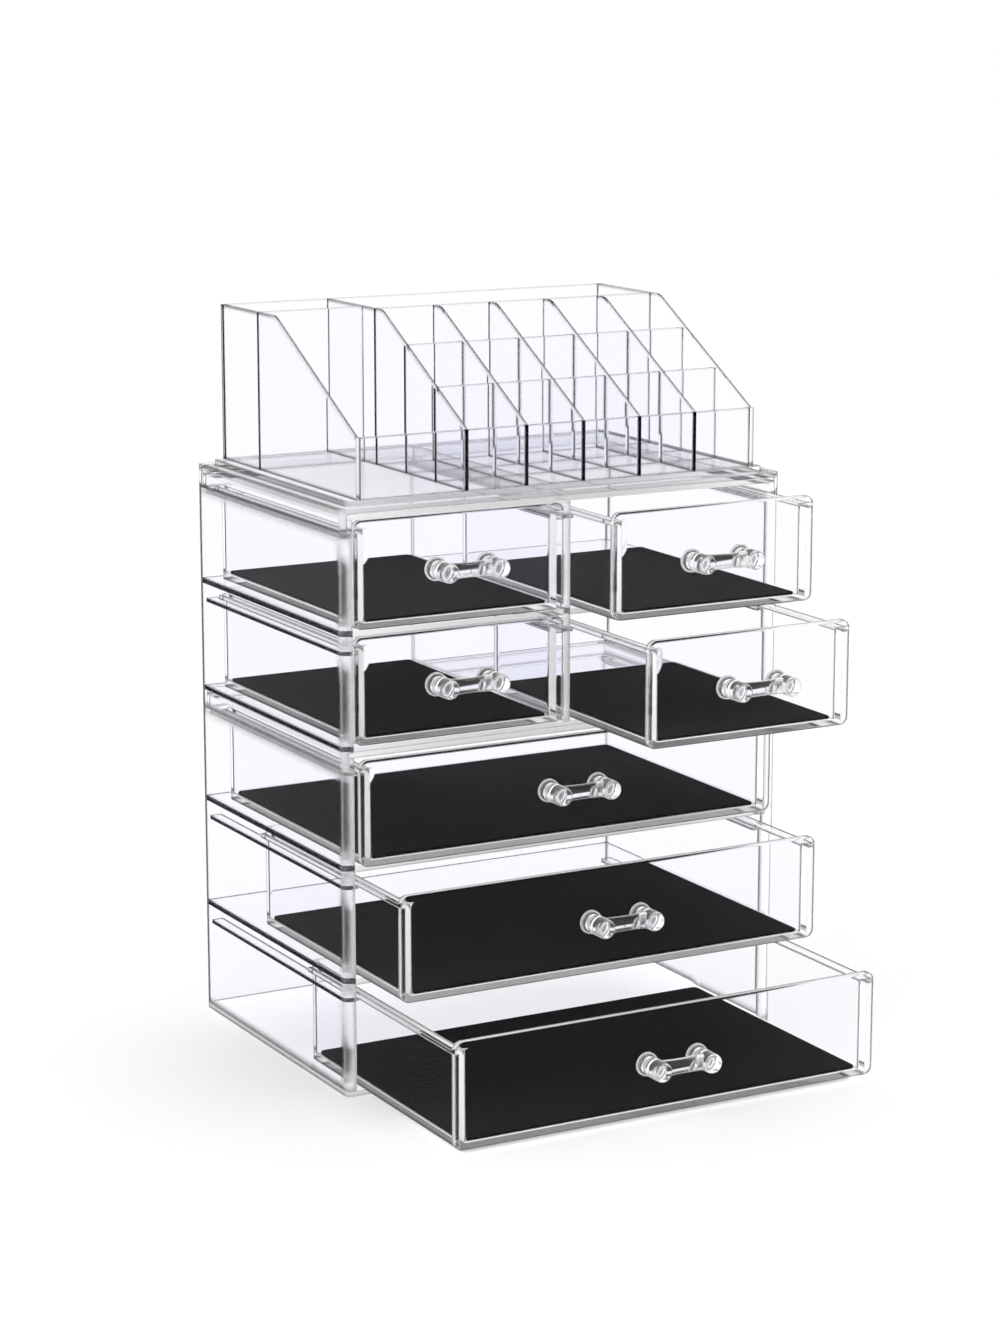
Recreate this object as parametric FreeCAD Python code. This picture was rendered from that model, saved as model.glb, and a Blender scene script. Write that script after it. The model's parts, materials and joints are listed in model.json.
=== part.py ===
"""Clear stacking organizer: a case of three wide drawers, a case of four small drawers, a divided tray.

Millimetres, +Z up, +X to the right, fronts towards -Y.  The origin is the centre of the underside.
Every drawer is drawn as far out as it stands at rest; its slide runs along Y.
"""
import FreeCAD, Part
import math
import os

V = FreeCAD.Vector

# ---- overall -------------------------------------------------------------------------------
width = 235.0            # outside of the cases, left to right
depth = 160.0            # outside of the cases, front edge to back
corner_r = 3.0           # rounding of the upright outer edges of the cases and the tray base

# ---- sheet thicknesses ---------------------------------------------------------------------
wall_t = 2.6             # side walls and back panels
floor_t = 2.6            # floor panel of the lower case
shelf_t = 2.8            # shelves between drawers
roof_t = 2.4             # top panel of each case, and floor panel of the upper case
collar_t = 2.4           # upstanding collar below each roof
divider_t = 3.0          # upright divider of the upper case
stack_gap = 0.2          # air between stacked modules, all round the collar

# ---- stacking joint ------------------------------------------------------------------------
skirt_h = 8.6            # how far a module's walls reach down over the collar below
stile_w = 5.1            # width of the thickened front edge of each side wall
stile_d = 5.0            # how far back the thickened front edge runs
shoulder_t = 2.4         # ledge on top of each side wall that the collar stands on
panel_setback = 0.6      # floors, shelves and divider stop this far behind the front edges

# ---- drawer cells --------------------------------------------------------------------------
cell_h = 51.2            # clear height between one shelf and the next
run_gap = 0.3            # sliding clearance below a drawer and over its rails
head_gap = 0.5           # air between the top of a drawer front and the panel above it
front_t = 3.3            # thickness of a drawer front
front_gap = 0.7          # air between a drawer front and the divider
front_inset = 5.9        # from the outside of the case to the end of a drawer front
front_corner_r = 4.0     # corners of a drawer front, seen from the front
front_edge_r = 1.0       # small rounding of its front edges

# ---- drawer bodies -------------------------------------------------------------------------
body_back_gap = 7.4      # air between the back of a closed drawer and the back panel
body_t = 2.4             # walls and floor of a drawer
body_corner_r = 4.0      # outer upright corners of a drawer
inner_corner_r = 2.6     # inner upright corners of a drawer
inner_floor_r = 1.4      # fillet round the floor inside a drawer
rim_drop = 4.0           # the side walls stop this far below the top of the front
lip_w = 3.0              # lip that stands out from each side wall
lip_t = 2.0              # its thickness
lip_clear = 0.4          # air between a side wall and the edge of its rail

# ---- rails ---------------------------------------------------------------------------------
rail_t = 2.0             # height of a rail
rail_end = 4.0           # the rails stop this far before the back panel

# ---- liners --------------------------------------------------------------------------------
liner_t = 1.6
liner_gap = 0.3          # air between the liner and the fillet round the floor

# ---- handles -------------------------------------------------------------------------------
handle_span = 26.5       # between the axes of the two posts
handle_reach = 16.0      # from the drawer front to the rounded end of a post
post_r = 4.6             # radius of a post at both ends
post_waist_r = 4.1       # radius of a post between the drawer front and the bar
post_end_round = 1.6     # rounding of a post's free end
foot_r = 5.6             # foot that spreads on the drawer front
foot_t = 1.2             # thickness of the foot
grip_y = 9.8             # from the drawer front to the axis of the bar
grip_end_r = 4.1         # radius of the bar where it meets the posts
grip_mid_r = 3.5         # radius of the bar in the middle
spigot_r = 2.5           # pin behind each foot
spigot_clear = 0.15      # radial clearance of the pin in its hole

# ---- tray ----------------------------------------------------------------------------------
tray_plate_t = 2.4       # base plate, as large as the case
plinth_h = 2.5           # raised step that the tray walls stand on
plinth_inset = 6.0       # from the edge of the plate to the step
tray_side_inset = 11.0   # from the edge of the plate to the outside of the side walls
tray_end_inset = 7.0     # from the edge of the plate to the outside of the front and back walls
tray_t = 2.2             # walls and dividers of the tray
tray_wall_h = 75.5       # tall back part of the walls, above the step
tray_lip_h = 28.5        # low front part of the walls, above the step
slope_lead = 5.2         # the walls start to fall this far in front of the rack's back wall
slope_round_r = 12.0     # rounding where the level top turns into the slope
rack_columns = 5         # columns of the rack on the right
rack_rows = 3            # stepped rows of the rack
rack_pitch_x = 30.5      # one column to the next
rack_back_bay = 49.4     # clear depth of the bay behind the rack
left_back_bay = 37.6     # clear depth of the rear left bay
lap_gap = 0.1            # clearance in the halved joints of the rack

# ---- how far out each drawer stands at rest --------------------------------------------------
out_large = [96.0, 45.0, 5.0]            # wide drawers, from the bottom up
out_small_right = [70.0, 38.0]           # right-hand small drawers, from the bottom up
out_small_left = [0.0, 0.0]              # left-hand small drawers

# ---- matching of edges and corners -----------------------------------------------------------
same_place = 1e-3        # two points this close are one

# ---- worked out from the above -------------------------------------------------------------
half_w = width / 2.0
half_d = depth / 2.0
front_y = -half_d
back_y = half_d
inner_x = half_w - wall_t                # inside of the side walls
inner_back_y = back_y - wall_t           # inside of the back panels
collar_x = inner_x - stack_gap           # outside of a collar
collar_back_y = inner_back_y - stack_gap
panel_front_y = front_y + panel_setback
cell_pitch = cell_h + shelf_t

front_h = cell_h - run_gap - head_gap                    # height of a drawer front
body_depth = depth - wall_t - body_back_gap              # outside of front to outside of back

cells_lower = [floor_t + i * cell_pitch for i in range(len(out_large))]
roof_lower_z = cells_lower[-1] + cell_h                  # underside of the lower roof
seat_upper_z = roof_lower_z + roof_t                     # top of the lower roof
floor_upper_z = seat_upper_z + stack_gap                 # underside of the upper floor
cells_upper = [floor_upper_z + roof_t + i * cell_pitch for i in range(len(out_small_left))]
roof_upper_z = cells_upper[-1] + cell_h
seat_tray_z = roof_upper_z + roof_t
tray_z = seat_tray_z + stack_gap                         # underside of the tray plate
collar_h = skirt_h - roof_t
wall_top_lower_z = roof_lower_z - collar_h
wall_top_upper_z = roof_upper_z - collar_h

front_back_y = front_y + front_t                         # rear face of a closed drawer front
front_x = half_w - front_inset                           # outer end of a drawer front
rim_z = run_gap + front_h - rim_drop                     # top of the side walls above the cell floor
rail_top = rim_z - lip_t - run_gap                       # top of a rail above the cell floor
rail_front_y = front_back_y + run_gap
rail_back_y = inner_back_y - rail_end
rail_x = front_x - lip_w + lip_clear                     # inner edge of a wall rail


def box(x0, x1, y0, y1, z0, z1):
    """A block between two corners."""
    return Part.makeBox(x1 - x0, y1 - y0, z1 - z0, V(x0, y0, z0))


def upright_edges(shape, wanted):
    """Edges along Z whose (x, y) is in the wanted list."""
    found = []
    for edge in shape.Edges:
        a, b = edge.Vertexes[0].Point, edge.Vertexes[-1].Point
        if abs(a.z - b.z) > same_place and math.hypot(a.x - b.x, a.y - b.y) < same_place:
            if any(math.hypot(a.x - x, a.y - y) < same_place for x, y in wanted):
                found.append(edge)
    return found


def round_upright(shape, radius, wanted):
    """Round the upright edges that stand at the given (x, y) places."""
    return shape.makeFillet(radius, upright_edges(shape, wanted))


def rounded_box(x0, x1, y0, y1, z0, z1, radius):
    """A block with its four upright edges rounded."""
    return round_upright(box(x0, x1, y0, y1, z0, z1), radius,
                         [(x0, y0), (x1, y0), (x0, y1), (x1, y1)])


def mirrored(shape):
    """The same piece on the other side of the middle plane."""
    return shape.mirror(V(0, 0, 0), V(1, 0, 0))


def export(name, shape):
    """Write one sub-part."""
    shape.exportStep("parts/%s.step" % name)


# ---- cases -----------------------------------------------------------------------------------
def side_wall(z0, z1, stile_z0):
    """Left wall from z0 to z1: sheet, thickened front edge, and the ledge under the collar."""
    sheet = box(-half_w, -inner_x, front_y, back_y, z0, z1)
    stile = box(-inner_x, -half_w + stile_w, front_y, front_y + stile_d, stile_z0, z1)
    ledge = box(-inner_x, -collar_x + collar_t, front_y, collar_back_y, z1 - shoulder_t, z1)
    wall = sheet.fuse(stile).fuse(ledge).removeSplitter()
    return wall.common(footprint(z0, z1))


def footprint(z0, z1):
    """The outline of a case, with its upright edges rounded, between two heights."""
    return rounded_box(-half_w, half_w, front_y, back_y, z0, z1, corner_r)


def back_panel(z0, z1):
    """Panel between the side walls."""
    return box(-inner_x, inner_x, inner_back_y, back_y, z0, z1).common(footprint(z0, z1))


def roof(z0):
    """Top panel of a case with the stepped-in collar below it, open at the front."""
    z1 = z0 + roof_t
    low = z0 - collar_h
    panel = box(-collar_x, collar_x, panel_front_y, collar_back_y, z0, z1)
    side = box(-collar_x, -collar_x + collar_t, front_y, collar_back_y, low, z0)
    rear = box(-collar_x, collar_x, collar_back_y - collar_t, collar_back_y, low, z0)
    whole = panel.fuse([side, mirrored(side), rear]).removeSplitter()
    return round_upright(whole, collar_t, [(-collar_x, collar_back_y), (collar_x, collar_back_y)])


def inner_panel(x0, x1, z0, thickness):
    """Shelf or floor panel between two uprights."""
    return box(x0, x1, panel_front_y, inner_back_y, z0, z0 + thickness)


def rail(x0, x1, cell_z):
    """One runner; the lip of a drawer slides along its top."""
    top = cell_z + rail_top
    return box(x0, x1, rail_front_y, rail_back_y, top - rail_t, top)


def lower_case():
    """Floor, walls, back, two shelves, roof and rails for three wide drawers."""
    floor = footprint(0.0, floor_t)
    wall = side_wall(floor_t, wall_top_lower_z, floor_t)
    walls = wall.fuse(mirrored(wall))
    rails = Part.makeCompound([rail(-inner_x, -rail_x, z).cut(wall) for z in cells_lower])
    export("lower_floor", floor)
    export("lower_wall_left", wall)
    export("lower_wall_right", mirrored(wall))
    export("lower_back", back_panel(floor_t, wall_top_lower_z))
    for number, z in enumerate(cells_lower[:-1], 1):
        shelf = inner_panel(-inner_x, inner_x, z + cell_h, shelf_t)
        export("lower_shelf_%d" % number, shelf.cut(walls))
    export("lower_roof", roof(roof_lower_z))
    export("lower_rails_left", rails)
    export("lower_rails_right", mirrored(rails))


def upper_case():
    """Skirted walls and back, floor, divider, shelves, roof and rails for two columns of drawers."""
    skirt_z = wall_top_lower_z + stack_gap
    wall = side_wall(skirt_z, wall_top_upper_z, floor_upper_z)
    half_div = divider_t / 2.0
    shelf = inner_panel(-inner_x, -half_div, cells_upper[0] + cell_h, shelf_t).cut(wall)
    outer_rails = Part.makeCompound([rail(-inner_x, -rail_x, z).cut(wall) for z in cells_upper])
    inner_edge = half_div + front_gap + lip_w - lip_clear
    inner_rails = [rail(-inner_edge, -half_div, z) for z in cells_upper]
    floor = inner_panel(-inner_x, inner_x, floor_upper_z, roof_t)
    export("upper_floor", floor.cut(wall.fuse(mirrored(wall))))
    export("upper_wall_left", wall)
    export("upper_wall_right", mirrored(wall))
    export("upper_back", back_panel(skirt_z, wall_top_upper_z))
    export("upper_divider", box(-half_div, half_div, panel_front_y, collar_back_y - collar_t,
                                cells_upper[0], roof_upper_z))
    export("upper_shelf_left", shelf)
    export("upper_shelf_right", mirrored(shelf))
    export("upper_roof", roof(roof_upper_z))
    export("upper_rails_left", outer_rails)
    export("upper_rails_right", mirrored(outer_rails))
    export("upper_rails_centre", Part.makeCompound(inner_rails + [mirrored(r) for r in inner_rails]))


# ---- drawers ---------------------------------------------------------------------------------
def drawer_body(x0, x1, cell_z, out):
    """Front and open-topped box with a lip along each side; x0 and x1 are the ends of the front."""
    y = front_y - out
    z = cell_z + run_gap
    face = box(x0, x1, y, y + front_t, z, z + front_h)
    corners = [e for e in face.Edges if abs(e.Vertexes[0].Y - e.Vertexes[-1].Y) > same_place]
    face = face.makeFillet(front_corner_r, corners)
    rim = [e for e in face.Edges if all(abs(v.Y - y) < same_place for v in e.Vertexes)]
    face = face.makeFillet(front_edge_r, rim)

    bx0, bx1, by1 = x0 + lip_w, x1 - lip_w, y + body_depth
    top = cell_z + rim_z
    shell = round_upright(box(bx0, bx1, y + front_t, by1, z, top), body_corner_r,
                          [(bx0, by1), (bx1, by1)])
    lip = box(x0, x1, y + front_t, by1 - body_corner_r, top - lip_t, top)
    hollow = rounded_box(bx0 + body_t, bx1 - body_t, y + front_t, by1 - body_t,
                         z + body_t, top + body_t, inner_corner_r)
    floor_rim = [e for e in hollow.Edges if all(abs(v.Z - z - body_t) < same_place for v in e.Vertexes)]
    hollow = hollow.makeFillet(inner_floor_r, floor_rim)
    body = face.fuse([shell, lip]).cut(hollow).removeSplitter()
    return body.cut(spigots((x0 + x1) / 2.0, cell_z, out, spigot_clear))


def handle_z(cell_z):
    """Height of the handle: the middle of the drawer front."""
    return cell_z + run_gap + front_h / 2.0


def spigots(x, cell_z, out, extra):
    """The two pins of a handle, or with extra radius the holes that they sit in."""
    y = front_y - out
    pins = [Part.makeCylinder(spigot_r + extra, front_t, V(x + s * handle_span / 2.0, y, handle_z(cell_z)),
                              V(0, 1, 0)) for s in (-1, 1)]
    return Part.makeCompound(pins)


def revolved(points, axis_at, axis):
    """Solid of revolution from (distance along the axis, radius) points; three in a list are an arc."""
    edges, last = [], None
    for item in points:
        if isinstance(item, list):
            edges.append(Part.Arc(last, V(item[0][0], item[0][1], 0), V(item[1][0], item[1][1], 0)).toShape())
            last = V(item[1][0], item[1][1], 0)
        else:
            here = V(item[0], item[1], 0)
            if last is not None:
                edges.append(Part.LineSegment(last, here).toShape())
            last = here
    first = V(points[0][0], points[0][1], 0)
    edges.append(Part.LineSegment(last, first).toShape())
    solid = Part.Face(Part.Wire(edges)).revolve(V(0, 0, 0), V(1, 0, 0), 360)
    solid.Placement = FreeCAD.Placement(axis_at, FreeCAD.Rotation(V(1, 0, 0), axis))
    return solid


def post(x, y, z):
    """One post: pin, foot, waisted shank and rounded end, standing out from the drawer front."""
    waist_at = (foot_t + grip_y - grip_end_r) / 2.0
    bend = post_end_round * (1 - math.sqrt(0.5))
    outline = [(-front_t, 0), (-front_t, spigot_r), (0, spigot_r), (0, foot_r), (foot_t, foot_r),
               [(waist_at, post_waist_r), (grip_y - grip_end_r, post_r)],
               (handle_reach - post_end_round, post_r),
               [(handle_reach - bend, post_r - bend), (handle_reach, post_r - post_end_round)],
               (handle_reach, 0)]
    return revolved(outline, V(x, y, z), V(0, -1, 0))


def handle(x, cell_z, out):
    """Waisted bar between two round posts, with pins that go through the drawer front."""
    y = front_y - out
    z = handle_z(cell_z)
    half = handle_span / 2.0
    bar = revolved([(-half, 0), (-half, grip_end_r), [(0, grip_mid_r), (half, grip_end_r)], (half, 0)],
                   V(x, y - grip_y, z), V(1, 0, 0))
    return bar.fuse([post(x - half, y, z), post(x + half, y, z)]).removeSplitter()


def liner(x0, x1, cell_z, out):
    """Soft pad on the drawer floor."""
    inset = inner_floor_r + liner_gap
    edge = lip_w + body_t + inset
    y0 = front_y - out + front_t + inset
    y1 = front_y - out + body_depth - body_t - inset
    z = cell_z + run_gap + body_t
    return rounded_box(x0 + edge, x1 - edge, y0, y1, z, z + liner_t, inner_corner_r)


def drawer(name, x0, x1, cell_z, out):
    """One complete drawer."""
    export(name + "_body", drawer_body(x0, x1, cell_z, out))
    export(name + "_handle", handle((x0 + x1) / 2.0, cell_z, out))
    export(name + "_liner", liner(x0, x1, cell_z, out))


def drawers():
    """Three wide drawers below, two columns of two small drawers above."""
    for name, z, out in zip(("bottom", "middle", "top"), cells_lower, out_large):
        drawer("wide_drawer_" + name, -front_x, front_x, z, out)
    near = divider_t / 2.0 + front_gap
    for name, z, left, right in zip(("lower", "upper"), cells_upper, out_small_left, out_small_right):
        drawer("left_drawer_" + name, -front_x, -near, z, left)
        drawer("right_drawer_" + name, near, front_x, z, right)


# ---- tray ------------------------------------------------------------------------------------
tray_floor_z = tray_z + tray_plate_t + plinth_h          # the walls stand on this
tray_x = half_w - tray_side_inset
tray_front_y = front_y + tray_end_inset
tray_back_y = back_y - tray_end_inset
rack_left_x = tray_x - tray_t - rack_columns * rack_pitch_x      # inner face, left end of the rack
rack_back_y = tray_back_y - tray_t - rack_back_bay - tray_t      # front face of the rack's back wall
rack_pitch_y = (rack_back_y - tray_front_y - tray_t) / rack_rows
left_bay_wall_y = tray_back_y - tray_t - left_back_bay - tray_t  # cross wall of the wide left bay
slope_start_y = rack_back_y - slope_lead
slope_fall = tray_wall_h - tray_lip_h
slope_run = slope_start_y - (tray_front_y + tray_t)


def wall_height(y):
    """Height of the side walls and dividers above the step at a given y."""
    if y >= slope_start_y:
        return tray_wall_h
    return max(tray_lip_h, tray_wall_h - slope_fall * (slope_start_y - y) / slope_run)


def profile_wall(x0, y0, y1):
    """Upright fore-and-aft sheet, level at the back and sloping down to the front."""
    z = tray_floor_z
    knee_y = tray_front_y + tray_t
    points = [V(x0, y1, z), V(x0, y1, z + tray_wall_h), V(x0, slope_start_y, z + tray_wall_h),
              V(x0, knee_y, z + tray_lip_h)]
    if y0 < knee_y:
        points.append(V(x0, y0, z + tray_lip_h))
    points.append(V(x0, y0, z))
    sheet = Part.Face(Part.makePolygon(points + points[:1])).extrude(V(tray_t, 0, 0))
    brow = [e for e in sheet.Edges if all(
        math.hypot(v.Y - slope_start_y, v.Z - z - tray_wall_h) < same_place for v in e.Vertexes)]
    return sheet.makeFillet(slope_round_r, brow)


def tray_base():
    """Plate with a skirt that drops over the collar, and the raised step."""
    top = tray_z + tray_plate_t
    skirt_z = wall_top_upper_z + stack_gap
    plate = footprint(tray_z, top)
    outer = footprint(skirt_z, tray_z)
    room = box(-inner_x, inner_x, front_y - wall_t, inner_back_y, skirt_z, tray_z)
    step = rounded_box(-half_w + plinth_inset, half_w - plinth_inset, front_y + plinth_inset,
                       back_y - plinth_inset, top, top + plinth_h, corner_r)
    return plate.fuse([outer.cut(room), step]).removeSplitter()


def slot_from_top(sheet, x0, x1, y0, y1, z):
    """Halved joint, upper half taken away."""
    return sheet.cut(box(x0, x1, y0, y1, z, tray_floor_z + tray_wall_h + tray_t))


def slot_from_floor(sheet, x0, x1, y0, y1, z):
    """Halved joint, lower half taken away."""
    return sheet.cut(box(x0, x1, y0, y1, tray_floor_z - tray_t, z))


def tray():
    """Base, outer walls, bay dividers and the stepped rack."""
    z = tray_floor_z
    inner_front = tray_front_y + tray_t
    inner_back = tray_back_y - tray_t
    side = profile_wall(-tray_x, tray_front_y, tray_back_y)
    export("tray_base", tray_base())
    export("tray_wall_left", side)
    export("tray_wall_right", mirrored(side))
    export("tray_wall_back", box(-tray_x + tray_t, tray_x - tray_t, inner_back, tray_back_y,
                                 z, z + tray_wall_h))
    export("tray_wall_front", box(-tray_x + tray_t, tray_x - tray_t, tray_front_y, inner_front,
                                  z, z + tray_lip_h))

    bay_x = rack_left_x - tray_t
    export("tray_bay_divider", profile_wall(bay_x, inner_front, inner_back))
    export("tray_bay_cross_wall", box(-tray_x + tray_t, bay_x, left_bay_wall_y, left_bay_wall_y + tray_t,
                                      z, z + tray_wall_h))

    half_sheet = tray_t / 2.0
    divider_x = [rack_left_x + i * rack_pitch_x - half_sheet for i in range(1, rack_columns)]
    cross_y = [inner_front + i * rack_pitch_y - half_sheet for i in range(1, rack_rows)]
    half_lap = tray_lip_h / 2.0
    for number, x in enumerate(divider_x, 1):
        sheet = profile_wall(x, inner_front, rack_back_y)
        for y in cross_y:
            sheet = slot_from_floor(sheet, x - tray_t, x + 2 * tray_t, y - lap_gap,
                                    y + tray_t + lap_gap, z + half_lap)
        export("tray_rack_divider_%d" % number, sheet)
    for number, y in enumerate(cross_y, 1):
        sheet = box(rack_left_x, tray_x - tray_t, y, y + tray_t, z, z + wall_height(y))
        for x in divider_x:
            sheet = slot_from_top(sheet, x - lap_gap, x + tray_t + lap_gap, y - tray_t, y + 2 * tray_t,
                                  z + half_lap)
        export("tray_rack_cross_wall_%d" % number, sheet)
    export("tray_rack_back", box(rack_left_x, tray_x - tray_t, rack_back_y, rack_back_y + tray_t,
                                 z, z + tray_wall_h))


os.makedirs("parts", exist_ok=True)
lower_case()
upper_case()
drawers()
tray()
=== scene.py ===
"""Clear stacking organizer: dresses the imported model, adds the foam liners, and sets up the studio.

Everything is in metres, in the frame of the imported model: +X to the right along the drawer
fronts, fronts towards -Y, +Z up, origin at the centre of the underside.
"""

import json
import logging
import math
from dataclasses import dataclass
from enum import Enum

import bmesh
import bpy
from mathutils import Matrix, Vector


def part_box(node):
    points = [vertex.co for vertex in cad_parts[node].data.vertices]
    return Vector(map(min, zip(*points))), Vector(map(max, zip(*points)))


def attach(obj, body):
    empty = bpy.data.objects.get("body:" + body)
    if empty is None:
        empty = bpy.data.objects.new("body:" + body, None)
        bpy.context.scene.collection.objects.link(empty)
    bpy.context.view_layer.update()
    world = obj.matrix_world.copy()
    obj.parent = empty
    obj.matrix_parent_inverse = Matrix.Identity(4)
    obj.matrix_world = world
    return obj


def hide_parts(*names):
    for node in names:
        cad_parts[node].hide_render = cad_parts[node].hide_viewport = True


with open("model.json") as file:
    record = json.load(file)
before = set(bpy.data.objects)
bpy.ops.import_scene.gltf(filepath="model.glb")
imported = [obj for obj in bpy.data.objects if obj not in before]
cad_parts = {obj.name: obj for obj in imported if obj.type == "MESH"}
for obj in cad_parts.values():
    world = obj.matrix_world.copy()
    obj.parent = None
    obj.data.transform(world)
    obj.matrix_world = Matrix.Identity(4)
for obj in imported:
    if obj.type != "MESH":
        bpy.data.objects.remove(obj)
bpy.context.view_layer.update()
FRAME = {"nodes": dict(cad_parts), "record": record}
LOG = logging.getLogger("organizer")
MM = 0.001
WAVE_BAND = math.tau / 20.0     # width of one band of a wave texture at a scale of 1
WHITE = "FFFFFF"
THICK_EDGED = ("_wall_", "divider")     # found in the names of case parts with a thick front edge

# Sockets of a mix node by number, because those for colours and for numbers share their names.
FACTOR = 0
NUMBER_A, NUMBER_B, NUMBER_OUT = 2, 3, 0
COLOUR_A, COLOUR_B, COLOUR_OUT = 6, 7, 2

# The sRGB curve.
SRGB_KNEE = 0.04045
SRGB_SLOPE = 12.92
SRGB_OFFSET = 0.055
SRGB_POWER = 2.4


def linear(hex_colour: str) -> tuple[float, float, float, float]:
    """Turn an sRGB hex colour into linear RGBA.

    Args:
        hex_colour: six hex digits, such as "F4F4F9".

    Returns:
        Linear red, green and blue, and an alpha of 1.
    """
    channels = []
    for value in bytes.fromhex(hex_colour):
        level = value / 255.0
        curved = ((level + SRGB_OFFSET) / (1.0 + SRGB_OFFSET)) ** SRGB_POWER
        channels.append(level / SRGB_SLOPE if level <= SRGB_KNEE else curved)
    return channels[0], channels[1], channels[2], 1.0


def add_node(tree: bpy.types.NodeTree, kind: str, settings: dict | None = None,
             links: dict | None = None) -> bpy.types.Node:
    """Add one node, set its properties and sockets, and link its inputs.

    Args:
        tree: the node tree that gets the node.
        kind: Blender's node type name.
        settings: values by property name, or by input name or number.
        links: output sockets by input name or number.

    Returns:
        The new node.
    """
    node = tree.nodes.new(kind)
    for name, value in (settings or {}).items():
        if isinstance(name, int) or name in node.inputs:
            node.inputs[name].default_value = value
        else:
            setattr(node, name, value)
    for name, socket in (links or {}).items():
        tree.links.new(socket, node.inputs[name])
    return node


def new_material(name: str) -> tuple[bpy.types.Material, bpy.types.NodeTree]:
    """Make a material with an empty node tree.

    Args:
        name: the material's name.

    Returns:
        The material and its node tree.
    """
    material = bpy.data.materials.new(name)
    material.use_nodes = True
    material.node_tree.nodes.clear()
    return material, material.node_tree


def dress(node_name: str, material: bpy.types.Material) -> None:
    """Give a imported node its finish.

    Args:
        node_name: the node's name.
        material: the finish.
    """
    for place in FRAME["nodes"][node_name].material_slots:
        place.material = material
    LOG.info("dressed %s", node_name)


def stand(name: str, data: bpy.types.ID) -> bpy.types.Object:
    """Put a mesh, lamp or camera into the scene.

    Args:
        name: the new object's name.
        data: what the object shows.

    Returns:
        The new object, at the origin.
    """
    thing = bpy.data.objects.new(name, data)
    bpy.context.scene.collection.objects.link(thing)
    return thing


# ---- finishes --------------------------------------------------------------------------------
class Clear(Enum):
    """Where each grade of clear plastic goes."""

    SHEET = "moulded_clear_styrene"
    STILE = "moulded_clear_thick_edge"
    TRAY = "moulded_clear_tray"
    HANDLE = "moulded_clear_handle"


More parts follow.
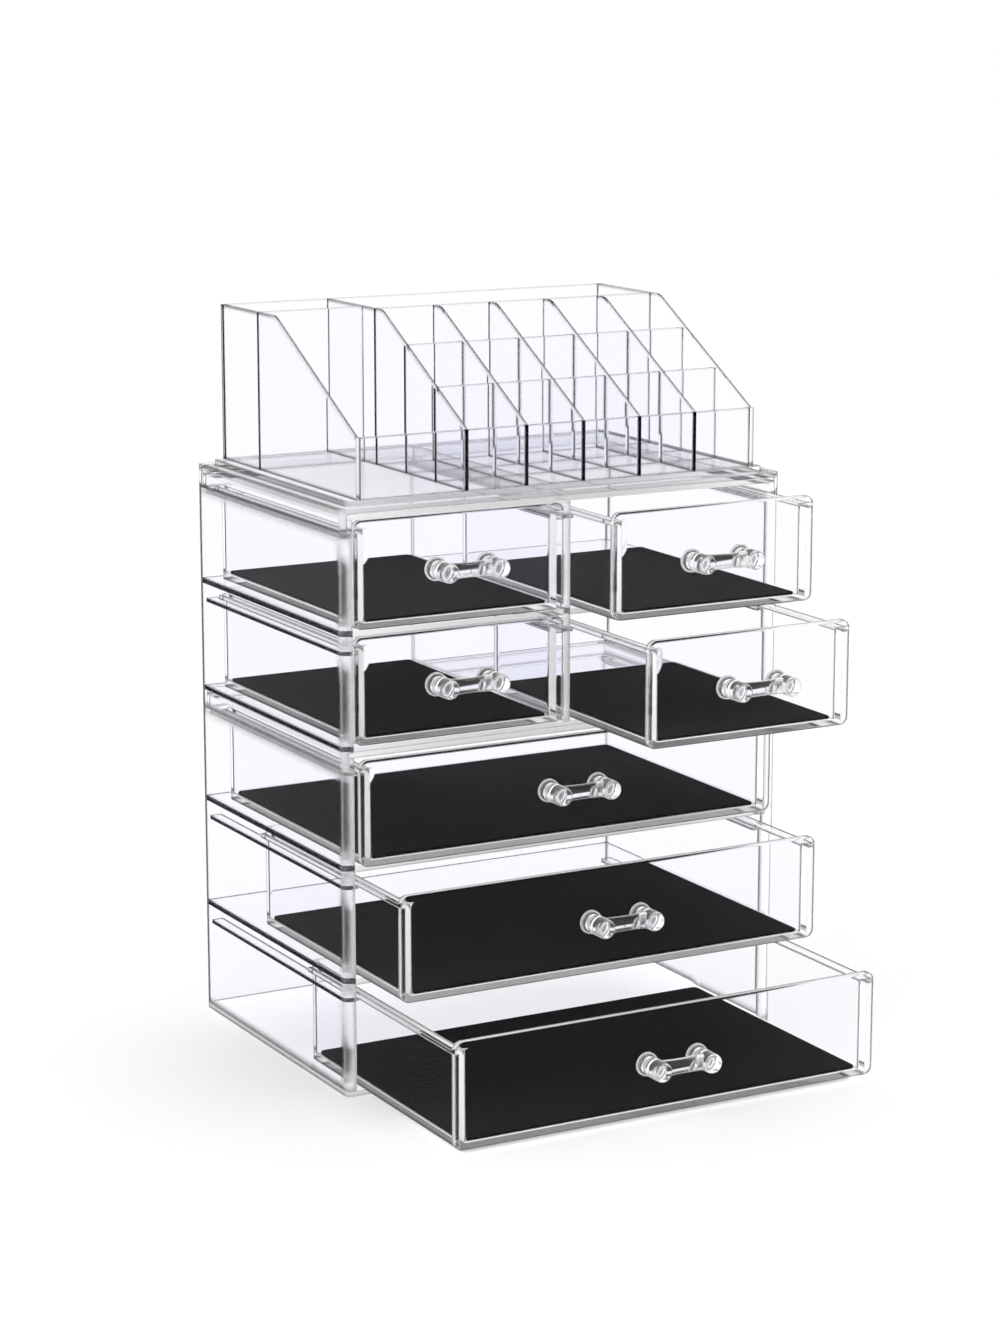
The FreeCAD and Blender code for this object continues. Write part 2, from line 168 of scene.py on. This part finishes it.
@dataclass(frozen=True)
class ClearStyrene:
    """Clear styrene, injection moulded in a polished tool.

    The eye gets water-clear sheets whose edges show bright bars, a painted glow where light is
    mirrored inside them, between fine painted dark lines, and a faint waviness, left by the melt
    as it flowed, in what they mirror.
    """

    grade: Clear = Clear.SHEET
    tint: str = "FEFEFF"            # looking straight through a face: a trace of blue
    painted_edge_shade: str = "141517"       # painted shade: the dark line beside an edge
    shadow_tint: str = "FBFBFC"     # what a lamp, or trapped light, keeps after one face
    ior: float = 1.45
    roughness: float = 0.012
    least_sheen: float = 0.03       # share of its mirroring that a face keeps when seen square on
    flow_mm: float = 38.0           # length of the waves that the melt leaves
    flow_depth: float = 0.02
    flow_detail: float = 1.0
    flow_roughness: float = 0.4
    edge_round_mm: float = 0.9      # how far the tool breaks each sharp edge
    round_rays: int = 3             # rays that feel for the broken edge
    line_mm: float = 3.0            # how far from an edge the painted dark line reaches
    line_rays: int = 5
    line_start: float = 0.9995      # straightness of the surface where an edge's line begins
    line_full: float = 0.955        # and where it is darkest
    line_turn: float = 0.52         # how far a surface turns away before its line begins
    line_fade: float = 0.25         # and how much further until it is darkest
    line_inside: float = 1.0        # how dark the painted line is in the painted glow at a sheet's edge
    painted_glow_colour: str = "FFFFFD"    # painted glow: the colour that light mirrored inside a sheet shows at its edge
    painted_glow_strength: float = 0.42       # strength of that painted glow, added as emission to the light of the place
    trapped_bounces: float = 0.5    # light mirrored more often than this leaves the plastic

    def build(self) -> bpy.types.Material:
        """Make the material.

        Returns:
            The new material.
        """
        material, tree = new_material(self.grade.value)
        path = add_node(tree, "ShaderNodeLightPath")
        near_edge, line = self.edge_lines(tree)
        see_through = add_node(tree, "ShaderNodeBsdfTransparent",
                               {"Color": linear(self.shadow_tint)})
        trapped = add_node(tree, "ShaderNodeMath",
                           {"operation": "GREATER_THAN", 1: self.trapped_bounces},
                           {0: path.outputs["Glossy Depth"]})
        let_out = add_node(tree, "ShaderNodeMath", {"operation": "MAXIMUM"},
                           {0: trapped.outputs["Value"], 1: path.outputs["Is Shadow Ray"]})
        face = add_node(tree, "ShaderNodeMixShader", None,
                        {0: let_out.outputs["Value"], 1: self.face(tree, line),
                         2: see_through.outputs["BSDF"]})
        side = add_node(tree, "ShaderNodeNewGeometry")
        mirrored = add_node(tree, "ShaderNodeMath", {"operation": "MULTIPLY"},
                            {0: path.outputs["Is Glossy Ray"],
                             1: path.outputs["Is Reflection Ray"]})
        guided = add_node(tree, "ShaderNodeMath", {"operation": "MULTIPLY"},
                          {0: mirrored.outputs["Value"], 1: side.outputs["Backfacing"]})
        # Light mirrored inside a sheet shows the painted glow instead of the face.
        surface = add_node(tree, "ShaderNodeMixShader", None,
                           {0: guided.outputs["Value"], 1: face.outputs["Shader"],
                            2: self.painted_edge_glow(tree, near_edge)})
        add_node(tree, "ShaderNodeOutputMaterial", None, {"Surface": surface.outputs["Shader"]})
        return material

    def edge_lines(self, tree: bpy.types.NodeTree) -> tuple[bpy.types.NodeSocket,
                                                            bpy.types.NodeSocket]:
        """Find the strip beside each edge, and the part of it that turns away: the painted dark line.

        Args:
            tree: the material's node tree.

        Returns:
            Two sockets: how near an edge a point is, and how dark the painted line is there.
        """
        soft = add_node(tree, "ShaderNodeBevel",
                        {"samples": self.line_rays, "Radius": self.line_mm * MM})
        facing = add_node(tree, "ShaderNodeLayerWeight", None, {"Normal": soft.outputs["Normal"]})
        size = add_node(tree, "ShaderNodeVectorMath", {"operation": "ABSOLUTE"},
                        {0: soft.outputs["Normal"]})
        axes = add_node(tree, "ShaderNodeSeparateXYZ", None, {"Vector": size.outputs["Vector"]})
        across = add_node(tree, "ShaderNodeMath", {"operation": "MAXIMUM"},
                          {0: axes.outputs["X"], 1: axes.outputs["Y"]})
        straightest = add_node(tree, "ShaderNodeMath", {"operation": "MAXIMUM"},
                               {0: across.outputs["Value"], 1: axes.outputs["Z"]})
        near_edge = add_node(tree, "ShaderNodeMapRange",
                             {"From Min": self.line_start, "From Max": self.line_full},
                             {"Value": straightest.outputs["Value"]})
        turned = add_node(tree, "ShaderNodeMapRange",
                          {"From Min": self.line_turn, "From Max": self.line_turn + self.line_fade},
                          {"Value": facing.outputs["Facing"]})
        line = add_node(tree, "ShaderNodeMath", {"operation": "MULTIPLY"},
                        {0: near_edge.outputs["Result"], 1: turned.outputs["Result"]})
        return near_edge.outputs["Result"], line.outputs["Value"]

    def face(self, tree: bpy.types.NodeTree, line: bpy.types.NodeSocket) -> bpy.types.NodeSocket:
        """Make a polished face: clear square on, a full mirror where light can't get out.

        Args:
            tree: the material's node tree.
            line: how dark the painted line beside an edge is.

        Returns:
            The shader's socket.
        """
        place = add_node(tree, "ShaderNodeTexCoord")
        flow = add_node(tree, "ShaderNodeTexNoise",
                        {"Scale": 1.0 / (self.flow_mm * MM), "Detail": self.flow_detail,
                         "Roughness": self.flow_roughness},
                        {"Vector": place.outputs["Object"]})
        rounded = add_node(tree, "ShaderNodeBevel",
                           {"samples": self.round_rays, "Radius": self.edge_round_mm * MM})
        waves = add_node(tree, "ShaderNodeBump", {"Strength": self.flow_depth, "Distance": MM},
                         {"Height": flow.outputs["Fac"], "Normal": rounded.outputs["Normal"]})
        # Painted shade: the colour darkens towards the edge shade along the line beside an edge.
        colour = add_node(tree, "ShaderNodeMix",
                          {"data_type": "RGBA", COLOUR_A: linear(self.tint),
                           COLOUR_B: linear(self.painted_edge_shade)},
                          {FACTOR: line})
        polished = add_node(tree, "ShaderNodeBsdfPrincipled",
                            {"IOR": self.ior, "Roughness": self.roughness,
                             "Transmission Weight": 1.0},
                            {"Base Color": colour.outputs[COLOUR_OUT],
                             "Normal": waves.outputs["Normal"]})
        clear = add_node(tree, "ShaderNodeBsdfRefraction",
                         {"IOR": self.ior, "Roughness": self.roughness},
                         {"Color": colour.outputs[COLOUR_OUT], "Normal": waves.outputs["Normal"]})
        mirroring = add_node(tree, "ShaderNodeFresnel", {"IOR": self.ior},
                             {"Normal": waves.outputs["Normal"]})
        sheen = add_node(tree, "ShaderNodeMapRange",
                         {"interpolation_type": "SMOOTHSTEP", "To Min": self.least_sheen},
                         {"Value": mirroring.outputs["Fac"]})
        mix = add_node(tree, "ShaderNodeMixShader", None,
                       {0: sheen.outputs["Result"], 1: clear.outputs["BSDF"],
                        2: polished.outputs["BSDF"]})
        return mix.outputs["Shader"]

    def painted_edge_glow(self, tree: bpy.types.NodeTree,
                   near_edge: bpy.types.NodeSocket) -> bpy.types.NodeSocket:
        """Make the painted glow that light mirrored inside a sheet shows: bright, with painted dark
        lines at the edges.

        Args:
            tree: the material's node tree.
            near_edge: how near an edge a point is.

        Returns:
            The shader's socket.
        """
        dark = add_node(tree, "ShaderNodeMath", {"operation": "MULTIPLY", 1: self.line_inside},
                        {0: near_edge})
        streak = add_node(tree, "ShaderNodeMix",
                          {"data_type": "RGBA", COLOUR_A: linear(self.painted_glow_colour),
                           COLOUR_B: linear(self.painted_edge_shade)},
                          {FACTOR: dark.outputs["Value"]})
        scattered = add_node(tree, "ShaderNodeBsdfDiffuse", None,
                             {"Color": streak.outputs[COLOUR_OUT]})
        # Painted glow: an emission, though the plastic is no lamp.
        painted_emission = add_node(tree, "ShaderNodeEmission", {"Strength": self.painted_glow_strength},
                            {"Color": streak.outputs[COLOUR_OUT]})
        bright = add_node(tree, "ShaderNodeAddShader", None,
                          {0: scattered.outputs["BSDF"], 1: painted_emission.outputs["Emission"]})
        return bright.outputs["Shader"]


CLEAR_GRADES = (
    ClearStyrene(),
    # Side walls and the divider end in a thick, well rounded front edge, a white bar of painted glow
    # with only faint painted dark lines.
    ClearStyrene(grade=Clear.STILE, edge_round_mm=4.5, line_mm=6.0, line_full=0.975,
                 line_inside=0.15),
    # The tray is moulded thinner; its painted dark line starts on faces that turn away only a little,
    # and its painted glow is weaker.
    ClearStyrene(grade=Clear.TRAY, line_turn=0.4, painted_glow_strength=0.3),
    # The handles are small thick lenses, brighter all over than sheet through a stronger painted glow
    # and a lighter painted edge shade.
    ClearStyrene(grade=Clear.HANDLE, tint=WHITE, ior=1.49, least_sheen=1.0, painted_edge_shade="4A4A4C",
                 line_mm=0.8, painted_glow_colour=WHITE, painted_glow_strength=0.7),
)


@dataclass(frozen=True)
class LinerFoam:
    """Black closed-cell foam with a fine mesh face, cut from a roll.

    The eye gets a flat charcoal with no gloss, a fine grid that the face leaves, and slightly
    paler, open cells.
    """

    name: str = "black_foam_liner"
    colour: str = "0F0F10"
    pale: str = "1F1E20"
    grid_mm: float = 2.4            # pitch of the mesh, at its real size
    grid_turn_deg: float = 45.0     # the mesh runs across the pad's corners
    cell_mm: float = 0.9            # foam cells, drawn a little coarser than life so that they show
    cell_detail: float = 3.0
    roughness: float = 0.85
    ior: float = 1.4
    gloss: float = 0.15             # open cells mirror far less than a closed skin does
    relief_mm: float = 0.3
    relief_strength: float = 0.35

    def build(self) -> bpy.types.Material:
        """Make the material.

        Returns:
            The new material.
        """
        material, tree = new_material(self.name)
        place = add_node(tree, "ShaderNodeTexCoord")
        cells = add_node(tree, "ShaderNodeTexNoise",
                         {"Scale": 1.0 / (self.cell_mm * MM), "Detail": self.cell_detail},
                         {"Vector": place.outputs["Object"]})
        turned = add_node(tree, "ShaderNodeMapping",
                          {"Rotation": (0.0, 0.0, math.radians(self.grid_turn_deg))},
                          {"Vector": place.outputs["Object"]})
        warp, weft = (add_node(tree, "ShaderNodeTexWave",
                               {"Scale": WAVE_BAND / (self.grid_mm * MM), "bands_direction": way},
                               {"Vector": turned.outputs["Vector"]}) for way in "XY")
        grid = add_node(tree, "ShaderNodeMath", {"operation": "MAXIMUM"},
                        {0: warp.outputs["Fac"], 1: weft.outputs["Fac"]})
        relief = add_node(tree, "ShaderNodeMath", {"operation": "MULTIPLY"},
                          {0: grid.outputs["Value"], 1: cells.outputs["Fac"]})
        colour = add_node(tree, "ShaderNodeMix",
                          {"data_type": "RGBA", COLOUR_A: linear(self.colour),
                           COLOUR_B: linear(self.pale)},
                          {FACTOR: relief.outputs["Value"]})
        bump = add_node(tree, "ShaderNodeBump",
                        {"Strength": self.relief_strength, "Distance": self.relief_mm * MM},
                        {"Height": relief.outputs["Value"]})
        foam = add_node(tree, "ShaderNodeBsdfPrincipled",
                        {"Roughness": self.roughness, "IOR": self.ior,
                         "Specular IOR Level": self.gloss},
                        {"Base Color": colour.outputs[COLOUR_OUT],
                         "Normal": bump.outputs["Normal"]})
        add_node(tree, "ShaderNodeOutputMaterial", None, {"Surface": foam.outputs["BSDF"]})
        return material


# ---- sub-assemblies --------------------------------------------------------------------------
@dataclass
class ClearGroup:
    """A body made only of clear pieces: a case with its shelves and rails, or the tray."""

    body: str

    def grade(self, node_name: str) -> Clear:
        """Tell which clear finish a node gets.

        Args:
            node_name: the node's name.

        Returns:
            The grade.
        """
        if self.body == "tray":
            return Clear.TRAY
        thick = any(part in node_name for part in THICK_EDGED)
        return Clear.STILE if thick else Clear.SHEET

    def build(self, clear: dict[Clear, bpy.types.Material]) -> None:
        """Dress every node of the body.

        Args:
            clear: the clear finishes.
        """
        for node_name in FRAME["record"]["behaviour"]["bodies"][self.body]:
            dress(node_name, clear[self.grade(node_name)])


@dataclass
class Pad:
    """The foam pad in a drawer: a die-cut rectangle with rounded corners and crushed edges."""

    name: str
    corner_mm: float = 2.6          # corner radius
    corner_steps: int = 6
    edge_mm: float = 0.35           # how far the cut edge is crushed round
    edge_steps: int = 3
    edge_fullness: float = 0.6
    flat_normal: float = 0.999      # a face that points further up than this stays flat shaded

    def build(self, stands_for: str) -> bpy.types.Object:
        """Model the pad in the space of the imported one.

        Args:
            stands_for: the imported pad's node name.

        Returns:
            The new object.
        """
        low, high = (Vector(corner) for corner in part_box(stands_for))
        shape = bmesh.new()
        base = shape.faces.new([shape.verts.new((x, y, low.z)) for x, y in self.outline(low, high)])
        raised = bmesh.ops.extrude_face_region(shape, geom=[base])
        thickness = high.z - low.z
        for item in raised["geom"]:
            if isinstance(item, bmesh.types.BMVert):
                item.co.z = high.z
        bmesh.ops.recalc_face_normals(shape, faces=shape.faces)
        rims = [edge for edge in shape.edges
                if abs(edge.verts[0].co.z - edge.verts[1].co.z) < thickness / 2]
        bmesh.ops.bevel(shape, geom=rims, offset=self.edge_mm * MM, segments=self.edge_steps,
                        profile=self.edge_fullness, affect="EDGES")
        mesh = bpy.data.meshes.new(self.name)
        shape.to_mesh(mesh)
        shape.free()
        for polygon in mesh.polygons:
            polygon.use_smooth = abs(polygon.normal.z) < self.flat_normal
        return stand(self.name, mesh)

    def outline(self, low: Vector, high: Vector) -> list[tuple[float, float]]:
        """Walk round the pad's rounded rectangle.

        Args:
            low: lowest corner of the pad.
            high: highest corner of the pad.

        Returns:
            Points in order, anticlockwise.
        """
        radius = self.corner_mm * MM
        left, right = low.x + radius, high.x - radius
        front, back = low.y + radius, high.y - radius
        centres = ((right, back), (left, back), (left, front), (right, front))
        points = []
        for corner, (x, y) in enumerate(centres):
            for step in range(self.corner_steps + 1):
                angle = math.pi / 2 * (corner + step / self.corner_steps)
                points.append((x + radius * math.cos(angle), y + radius * math.sin(angle)))
        return points


@dataclass
class Drawer:
    """One drawer: its clear body and handle, and the foam pad laid inside it."""

    name: str

    def build(self, clear: dict[Clear, bpy.types.Material], foam: bpy.types.Material) -> None:
        """Dress the clear pieces and lay the pad.

        Args:
            clear: the clear finishes.
            foam: finish of the pad.
        """
        dress(self.name + "_body", clear[Clear.SHEET])
        dress(self.name + "_handle", clear[Clear.HANDLE])
        liner = self.name + "_liner"
        pad = Pad(self.name + "_pad").build(liner)
        pad.data.materials.append(foam)
        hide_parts(liner)
        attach(pad, self.name)
        LOG.info("laid %s", pad.name)


# ---- studio ----------------------------------------------------------------------------------
class LampKind(Enum):
    """Blender's lamp types."""

    FAR = "SUN"
    PANEL = "AREA"


@dataclass(frozen=True)
class Lamp:
    """A lamp that points at the middle of the object."""

    name: str
    kind: LampKind
    place: tuple[float, float, float]
    strength: float                 # watts for a panel, watts per square metre for a far lamp
    spread: float                   # width in metres for a panel, in degrees for a far lamp
    aim: tuple[float, float, float] = (0.0, 0.0, 0.15)

    def build(self) -> None:
        """Hang the lamp."""
        light = bpy.data.lights.new(self.name, self.kind.value)
        light.energy = self.strength
        if self.kind is LampKind.FAR:
            light.angle = math.radians(self.spread)
        else:
            light.size = self.spread
        lamp = stand(self.name, light)
        lamp.location = self.place
        beam = Vector(self.aim) - lamp.location
        lamp.rotation_euler = beam.to_track_quat("-Z", "Y").to_euler()


@dataclass(frozen=True)
class Camera:
    """The camera, to the left of the fronts and looking slightly down."""

    at_mm: tuple[float, float, float] = (-783.3, -1437.0, 527.7)
    turn_deg: float = 28.83         # to the right of straight ahead
    tilt_deg: float = 12.05         # below the horizon
    focal_px: float = 3407.3        # focal length in pixels of the frame
    frame_px: float = 1333.0        # height of the frame
    sensor_mm: float = 36.0
    nearest: float = 0.05
    farthest: float = 50.0

    def build(self) -> None:
        """Place the camera."""
        data = bpy.data.cameras.new("camera")
        data.sensor_width = self.sensor_mm
        data.lens = self.focal_px / self.frame_px * self.sensor_mm
        data.clip_start, data.clip_end = self.nearest, self.farthest
        turn, tilt = math.radians(self.turn_deg), math.radians(self.tilt_deg)
        ahead = Vector((math.sin(turn) * math.cos(tilt), math.cos(turn) * math.cos(tilt),
                        -math.sin(tilt)))
        camera = stand("camera", data)
        camera.location = [value * MM for value in self.at_mm]
        camera.rotation_euler = ahead.to_track_quat("-Z", "Y").to_euler()
        bpy.context.scene.camera = camera


@dataclass(frozen=True)
class Studio:
    """Paper floor, white surroundings, lamps and camera."""

    floor_m: float = 30.0           # radius
    floor_corners: int = 64
    paper: str = "F6F6F7"           # the floor as it lights the object
    shown_paper: str = "C8C8C8"     # the floor as the eye sees it: the part that takes the shadow,
    shown_glow: float = 0.44        # and the glow that lifts what is lit to white
    unlit_paper: str = "202020"     # painted shade: the dark floor that mirror images blend in as they are dimmed
    mirror_keeps: float = 0.66      # how bright the studio looks after each mirroring
    ambient: float = 0.6            # light that the surroundings give
    lamps: tuple[Lamp, ...] = (
        Lamp("ceiling", LampKind.FAR, (0.2, 0.15, 1.15), strength=1.3, spread=40.0),
        Lamp("left_fill", LampKind.PANEL, (-1.6, -0.9, 0.9), strength=2.0, spread=1.0),
    )
    camera: Camera = Camera()

    def build(self) -> None:
        """Set up the whole studio."""
        self.floor()
        self.world()
        for lamp in self.lamps:
            lamp.build()
        self.camera.build()

    def floor(self) -> None:
        """Lay a pale floor that keeps the shadow and shows white."""
        mesh = bpy.data.meshes.new("studio_floor")
        corners = range(self.floor_corners)
        turns = [math.tau * corner / self.floor_corners for corner in corners]
        rim = [(self.floor_m * math.cos(turn), self.floor_m * math.sin(turn), 0.0)
               for turn in turns]
        mesh.from_pydata(rim, [], [tuple(corners)])
        material, tree = new_material("pale_paper_sweep")
        paper = add_node(tree, "ShaderNodeBsdfDiffuse", {"Color": linear(self.paper)})
        shown = add_node(tree, "ShaderNodeBsdfDiffuse", {"Color": linear(self.shown_paper)})
        glow = add_node(tree, "ShaderNodeEmission",
                        {"Color": linear(WHITE), "Strength": self.shown_glow})
        white = add_node(tree, "ShaderNodeAddShader", None,
                         {0: shown.outputs["BSDF"], 1: glow.outputs["Emission"]})
        unlit = add_node(tree, "ShaderNodeBsdfDiffuse", {"Color": linear(self.unlit_paper)})
        dimmed = add_node(tree, "ShaderNodeMixShader", None,
                          {0: self.mirror_dimming(tree), 1: unlit.outputs["BSDF"],
                           2: white.outputs["Shader"]})
        surface = add_node(tree, "ShaderNodeMixShader", None,
                           {0: self.seen_directly(tree), 1: paper.outputs["BSDF"],
                            2: dimmed.outputs["Shader"]})
        add_node(tree, "ShaderNodeOutputMaterial", None, {"Surface": surface.outputs["Shader"]})
        mesh.materials.append(material)
        stand(mesh.name, mesh)

    def world(self) -> None:
        """Surround the set with plain light that shows white, dimmed in mirror images."""
        world = bpy.data.worlds.new("studio_world")
        world.use_nodes = True
        tree = world.node_tree
        tree.nodes.clear()
        level = add_node(tree, "ShaderNodeMix", {"data_type": "FLOAT", NUMBER_A: self.ambient},
                         {FACTOR: self.seen_directly(tree), NUMBER_B: self.mirror_dimming(tree)})
        back = add_node(tree, "ShaderNodeBackground", {"Color": linear(WHITE)},
                        {"Strength": level.outputs[NUMBER_OUT]})
        add_node(tree, "ShaderNodeOutputWorld", None, {"Surface": back.outputs["Background"]})
        bpy.context.scene.world = world

    def seen_directly(self, tree: bpy.types.NodeTree) -> bpy.types.NodeSocket:
        """Tell the rays that show an image from those that light the object.

        Args:
            tree: the node tree that asks.

        Returns:
            A socket that is 1 for camera, mirror and glass rays.
        """
        path = add_node(tree, "ShaderNodeLightPath")
        first = add_node(tree, "ShaderNodeMath", {"operation": "MAXIMUM"},
                         {0: path.outputs["Is Camera Ray"], 1: path.outputs["Is Glossy Ray"]})
        either = add_node(tree, "ShaderNodeMath", {"operation": "MAXIMUM"},
                          {0: first.outputs["Value"], 1: path.outputs["Is Transmission Ray"]})
        return either.outputs["Value"]

    def mirror_dimming(self, tree: bpy.types.NodeTree) -> bpy.types.NodeSocket:
        """Dim what a ray shows by how often the plastic has mirrored it.

        Args:
            tree: the node tree that asks.

        Returns:
            A socket that is 1 for a ray that was never mirrored.
        """
        path = add_node(tree, "ShaderNodeLightPath")
        dimming = add_node(tree, "ShaderNodeMath", {"operation": "POWER", 0: self.mirror_keeps},
                           {1: path.outputs["Glossy Depth"]})
        return dimming.outputs["Value"]


@dataclass(frozen=True)
class LightPaths:
    """How far light is followed through the many stacked clear walls."""

    bounces: int = 40
    mirror_bounces: int = 12
    clear_faces: int = 64

    def build(self) -> None:
        """Set the limits, and show colours as they are written."""
        bpy.context.scene.view_settings.view_transform = "Standard"
        cycles = bpy.context.scene.cycles
        cycles.max_bounces = self.bounces
        cycles.transmission_bounces = self.bounces
        cycles.glossy_bounces = self.mirror_bounces
        cycles.transparent_max_bounces = self.clear_faces


def main() -> None:
    """Build the dressed organizer, its pads and the studio."""
    logging.basicConfig(level=logging.INFO, format="%(name)s: %(message)s")
    clear = {finish.grade: finish.build() for finish in CLEAR_GRADES}
    foam = LinerFoam().build()
    for body in FRAME["record"]["behaviour"]["bodies"]:
        if "drawer" in body:
            Drawer(body).build(clear, foam)
        else:
            ClearGroup(body).build(clear)
    Studio().build()
    LightPaths().build()


if __name__ == "__main__":
    main()
